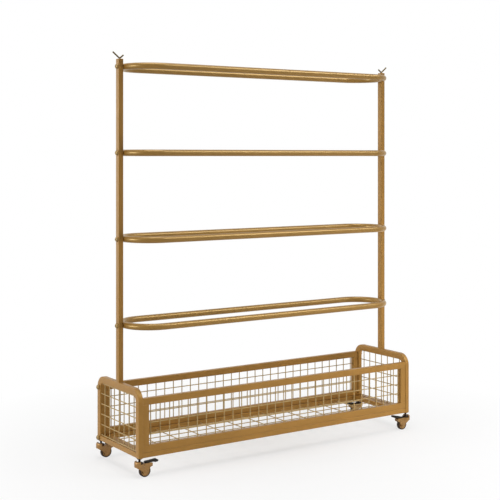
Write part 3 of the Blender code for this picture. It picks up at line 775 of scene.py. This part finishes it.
def caster_fork(name, place):
    """A pressed hood that runs down into two cheeks, with a visor around the bearing ring."""
    inner = WHEEL_WIDTH / 2 + WHEEL_PLAY
    outer = inner + CHEEK
    across = Matrix.Rotation(math.pi / 2, 4, "X")
    hood_edge = shoulder(HOOD_RADIUS, HOOD_TOP, HOOD_SHOULDER_INSET, HOOD_SHOULDER_DROP)
    hood = turned([(HOOD_RADIUS, HOOD_BOTTOM)] + hood_edge)
    cheek = [(CHEEK_FRONT, FORK_TOP), (CHEEK_FRONT, CHEEK_WAIST)]
    cheek += arc((TRAIL, WHEEL_RADIUS), CHEEK_END, math.pi, 2 * math.pi, 24)
    cheek += [(CHEEK_BACK, CHEEK_WAIST), (CHEEK_TAIL, CHEEK_TAIL_FOOT), (CHEEK_TAIL, FORK_TOP)]
    relief = slab([(VISOR_EDGE, FORK_TOP), (FAR, FORK_TOP), (FAR, FAR), (VISOR_EDGE, FAR)], FAR)
    race = turned([(RING_RADIUS + SWIVEL_PLAY, FORK_TOP), (RING_RADIUS + SWIVEL_PLAY, FAR)])
    kingpin_hole = KINGPIN_RADIUS + SWIVEL_PLAY
    kingpin = turned([(kingpin_hole, KINGPIN_END - CASTER_GAP), (kingpin_hole, FAR)])
    arch_radius = WHEEL_RADIUS + ARCH_PLAY
    arch = arc((TRAIL, WHEEL_RADIUS), arch_radius, math.pi, math.pi / 2, 20)
    arch += [(TRAIL, FAR), (FAR, FAR), (FAR, -FAR), (TRAIL - arch_radius, -FAR)]
    steps = [("UNION", slab(rounded(cheek, CHEEK_ROUND), 2 * outer)), ("DIFFERENCE", relief),
             ("DIFFERENCE", race), ("DIFFERENCE", kingpin), ("DIFFERENCE", slab(arch, 2 * inner))]
    holes = (((TRAIL, WHEEL_RADIUS), AXLE_RADIUS + CASTER_GAP),
             (PEDAL_PIVOT, PEDAL_PIN_RADIUS + CASTER_GAP), (CHEEK_HOLE, CHEEK_HOLE_RADIUS))
    for (x, z), radius in holes:
        hole = turned([(radius, -FAR), (radius, FAR)], Matrix.Translation((x, 0, z)) @ across)
        steps.append(("DIFFERENCE", hole))
    shape = carved(hood, steps, FORK_SOFT)
    # The rivet that ties the tails of the cheeks together, with a low domed head on each side.
    rivet = both_sides([(radius, -outer - height) for radius, height in RIVET_HEAD])
    add_turned(shape, rivet, Matrix.Translation((RIVET[0], 0, RIVET[1])) @ across, sides=24)
    body = name + "_swivel_body"
    finish_piece(shape, name + "_caster_fork", CASTER_PAINT, body, [name + "_fork"],
                 matrix=place)

    head = outer + CASTER_GAP
    dome = both_sides([(radius, -head - share * AXLE_HEAD) for radius, share in AXLE_DOME])
    axle = turned(dome, Matrix.Translation((TRAIL, 0, WHEEL_RADIUS)) @ across)
    finish_piece(axle, name + "_caster_axle", CASTER_PAINT, body, [name + "_axle"],
                 matrix=place)


def caster_wheel(name, place):
    """A rounded tyre with a parting groove on a recessed hub."""
    matrix = place @ Matrix.Translation((TRAIL, 0, WHEEL_RADIUS)) @ Matrix.Rotation(math.pi / 2, 4, "X")
    half = WHEEL_WIDTH / 2
    inner = WHEEL_RADIUS - TYRE_THICKNESS
    side = [(inner, half)] + shoulder(WHEEL_RADIUS, half, TYRE_DROP, TYRE_INSET)[::-1]
    side += [(WHEEL_RADIUS, 2 * TYRE_GROOVE), (WHEEL_RADIUS - TYRE_GROOVE, 0)]
    body = name + "_wheel_body"
    shape = bmesh.new()
    add_turned(shape, both_sides(side), closed=True, sides=WHEEL_SIDES)
    finish_piece(shape, name + "_caster_tyre", RUBBER, body, [name + "_tyre"], matrix=matrix)

    rim = inner - CASTER_GAP
    hole = AXLE_RADIUS + CASTER_GAP
    face = half - HUB_RECESS
    lip = rim - HUB_LIP
    side = [(hole, half - HUB_SOFT), (hole + HUB_SOFT, half), (HUB_BOSS - HUB_EDGE, half),
            (HUB_BOSS, half - HUB_EDGE), (HUB_BOSS + HUB_DRAFT, face + HUB_SOFT),
            (HUB_BOSS + HUB_FILLET, face), (lip - HUB_STEP, face), (lip, face + HUB_EDGE),
            (lip + HUB_SOFT, half - HUB_EDGE), (lip + HUB_STEP, half), (rim - HUB_SOFT, half),
            (rim, half - HUB_SOFT)]
    shape = bmesh.new()
    add_turned(shape, both_sides(side), closed=True, sides=WHEEL_SIDES)
    finish_piece(shape, name + "_caster_hub", CASTER_PAINT, body, [name + "_hub"],
                 matrix=matrix)


def caster_pedal(name, place, lift):
    """A moulded pedal with grip ribs on its toe, on a cross pin."""
    px, pz = PEDAL_PIVOT
    inner = WHEEL_WIDTH / 2 + WHEEL_PLAY
    top = PEDAL_UNDER + PEDAL_PLATE
    plate = [(PEDAL_START, PEDAL_UNDER), *PEDAL_TOE, (PEDAL_START + PEDAL_SLOPE, top),
             (PEDAL_START, top - PEDAL_SLOPE / 4)]
    plate = [(x - px, z - pz) for x, z in plate]
    root = PEDAL_UNDER + PEDAL_PLATE / 2 - pz
    lug = arc((0, 0), PEDAL_LUG, math.pi, 2 * math.pi, 16)
    lug += [(PEDAL_LUG_FOOT - PEDAL_LUG, root), (-PEDAL_LUG, root)]
    steps = [("UNION", slab(lug, 2 * (inner - CASTER_GAP)))]
    shape = carved(slab(rounded(plate, PEDAL_ROUND), PEDAL_WIDTH), steps, PEDAL_SOFT)
    rib_length = PEDAL_WIDTH - 2 * RIB_MARGIN
    (toe_x, toe_z), (heel_x, heel_z) = PEDAL_TOE[-2:]
    for i in range(RIB_COUNT):
        x = RIB_START + RIB_PITCH * i
        z = heel_z + (toe_z - heel_z) * (x - heel_x) / (toe_x - heel_x)
        rings = []
        for share, height in RIB_SECTIONS:
            section = box_points(RIB_WIDTH * share, rib_length - RIB_WIDTH * (1 - share), RIB_CORNER)
            rings.append([(x - px + a, b, z - pz + height) for a, b in section])
        add_rings(shape, rings)
    matrix = place @ Matrix.Translation((px, 0, pz)) @ Matrix.Rotation(-lift, 4, "Y")
    body = name + "_pedal_body"
    finish_piece(shape, name + "_caster_pedal", PLASTIC, body, [name + "_pedal"],
                 matrix=matrix)
    reach = inner + CHEEK + PEDAL_PIN_PROUD
    pin = [(PEDAL_PIN_RADIUS - PEDAL_PIN_INSET, -reach), (PEDAL_PIN_RADIUS, -reach + PEDAL_PIN_CHAMFER)]
    shape = turned(both_sides(pin), Matrix.Rotation(math.pi / 2, 4, "X"))
    finish_piece(shape, name + "_caster_pedal_pin", CASTER_PAINT, body, matrix=matrix)


def caster(name, x, y, heading, lift):
    place = Matrix.Translation((x, y, 0)) @ Matrix.Rotation(heading, 4, "Z")
    caster_stem(name, x, y)
    caster_fork(name, place)
    caster_wheel(name, place)
    caster_pedal(name, place, lift)


for end_name, end_side in (("left", -1), ("right", 1)):
    end_frame(end_name, end_side)
    end_mesh(end_name, end_side)
    post(end_name, end_side)
    hook(end_name, end_side)
    for shelf in range(1, SHELF_COUNT + 1):
        bolt_head("%s_shelf_bolt_%d" % (end_name, shelf), end_side)
    for level_name in ("upper", "lower"):
        bolt_head("%s_%s_panel_bolt" % (end_name, level_name), end_side)
panel("front_panel", -1)
panel("rear_panel", 1)
floor()
for shelf in range(1, SHELF_COUNT + 1):
    shelf_loop(shelf)
caster("front_left", -LEG_X, -LEG_Y, 0, 0)
caster("front_right", LEG_X, -LEG_Y, math.pi, PEDAL_LIFT)
caster("rear_left", -LEG_X, LEG_Y, 0, PEDAL_LIFT)
caster("rear_right", LEG_X, LEG_Y, math.pi, PEDAL_LIFT)


# Floor, lights and camera

def white_to_the_eye(tree):
    """1 for rays from the camera, reflections and glass, 0 for the rest."""
    rays = add_node(tree, "ShaderNodeLightPath").outputs
    seen = add_node(tree, "ShaderNodeMath", {0: rays["Is Camera Ray"], 1: rays["Is Glossy Ray"]},
                    operation="MAXIMUM")
    seen = add_node(tree, "ShaderNodeMath", {0: seen.outputs[0], 1: rays["Is Transmission Ray"]},
                    operation="MAXIMUM")
    return seen.outputs[0]


def studio_floor():
    """A pale floor that keeps the shadow near the rack and turns into plain white further out.

    The light that it throws back onto the rack comes mostly from the part in front of it."""
    material = bpy.data.materials.new("studio_floor")
    material.use_nodes = True
    tree = material.node_tree
    tree.nodes.clear()
    place = add_node(tree, "ShaderNodeTexCoord").outputs["Object"]
    far = add_node(tree, "ShaderNodeVectorMath", {0: place}, operation="LENGTH")
    white = ranged(tree, far.outputs["Value"], 0.0, WHITE_DISTANCE, WHITE_START, 1.0)
    front = add_node(tree, "ShaderNodeVectorMath", {0: place, 1: BOUNCE_CENTRE}, operation="DISTANCE")
    bounce = ranged(tree, front.outputs["Value"], BOUNCE_NEAR, BOUNCE_FAR, 1.0, BOUNCE_LEAST)
    thrown = add_node(tree, "ShaderNodeCombineColor", {"Red": bounce, "Green": bounce, "Blue": bounce})
    seen = white_to_the_eye(tree)
    share = add_node(tree, "ShaderNodeMath", {0: white, 1: seen}, operation="MULTIPLY")
    tone = blend_colour(tree, seen, thrown.outputs["Color"], FLOOR_TONE)
    matt = add_node(tree, "ShaderNodeBsdfDiffuse", {"Color": tone})
    glow = add_node(tree, "ShaderNodeEmission", {"Color": WHITE, "Strength": 1.0})
    mixed = add_node(tree, "ShaderNodeMixShader",
                     {0: share.outputs[0], 1: matt.outputs[0], 2: glow.outputs[0]})
    add_node(tree, "ShaderNodeOutputMaterial", {"Surface": mixed.outputs[0]})
    mesh = bpy.data.meshes.new("studio_floor")
    corners = [(x * FLOOR_HALF, y * FLOOR_HALF, 0) for x, y in ((-1, -1), (1, -1), (1, 1), (-1, 1))]
    mesh.from_pydata(corners, [], [(0, 1, 2, 3)])
    mesh.materials.append(material)
    ground = bpy.data.objects.new("studio_floor", mesh)
    bpy.context.scene.collection.objects.link(ground)


def lamp(name, place, aim, size, power, glints=True, fill=True):
    """A soft rectangular lamp. One without glints isn't mirrored, one without fill is only mirrored."""
    light = bpy.data.lights.new(name, "AREA")
    light.shape = "RECTANGLE"
    light.size, light.size_y = size
    light.energy = power
    holder = bpy.data.objects.new(name, light)
    holder.visible_camera = False
    holder.visible_glossy = glints
    holder.visible_diffuse = fill
    holder.location = place
    holder.rotation_euler = (Vector(aim) - Vector(place)).to_track_quat("-Z", "Y").to_euler()
    bpy.context.scene.collection.objects.link(holder)


def sky(strength):
    """Even light from all around. What the camera, gloss and glass see of it is white."""
    world = bpy.data.worlds.new("studio")
    bpy.context.scene.world = world
    world.use_nodes = True
    tree = world.node_tree
    tree.nodes.clear()
    level = ranged(tree, white_to_the_eye(tree), 0.0, 1.0, strength, 1.0)
    glow = add_node(tree, "ShaderNodeBackground", {"Color": WHITE, "Strength": level})
    add_node(tree, "ShaderNodeOutputWorld", {"Surface": glow.outputs[0]})


studio_floor()
sky(0.08)
lamp("key", (-9.0, 0.4, 1.5), (0, 0, 0.6), (4.4, 3.6), 520)
lamp("rear_left", (-3.6, 5.0, 1.3), (0, 0, 0.8), (3.0, 3.2), 52)
lamp("top", (0.0, -0.3, 7.0), (0, 0, 0.7), (4.5, 4.5), 330)
lamp("front_low", (1.7, -2.1, 0.45), (0.3, 0, 0.2), (1.4, 0.8), 42, glints=False)
lamp("front_high", (3.2, -3.3, 4.6), (0, 0, 0.9), (2.4, 2.4), 175, fill=False)

camera_data = bpy.data.cameras.new("camera")
camera_data.sensor_width = 36.0
camera_data.lens = 78.94
camera_data.shift_x = -0.0091
camera_data.shift_y = -0.1886
camera = bpy.data.objects.new("camera", camera_data)
camera.location = (-2.5637, -3.7635, 1.1907)
camera.rotation_euler = (math.radians(90), 0, math.radians(-33.933))
bpy.context.scene.collection.objects.link(camera)
bpy.context.scene.camera = camera
bpy.context.scene.view_settings.view_transform = "Standard"
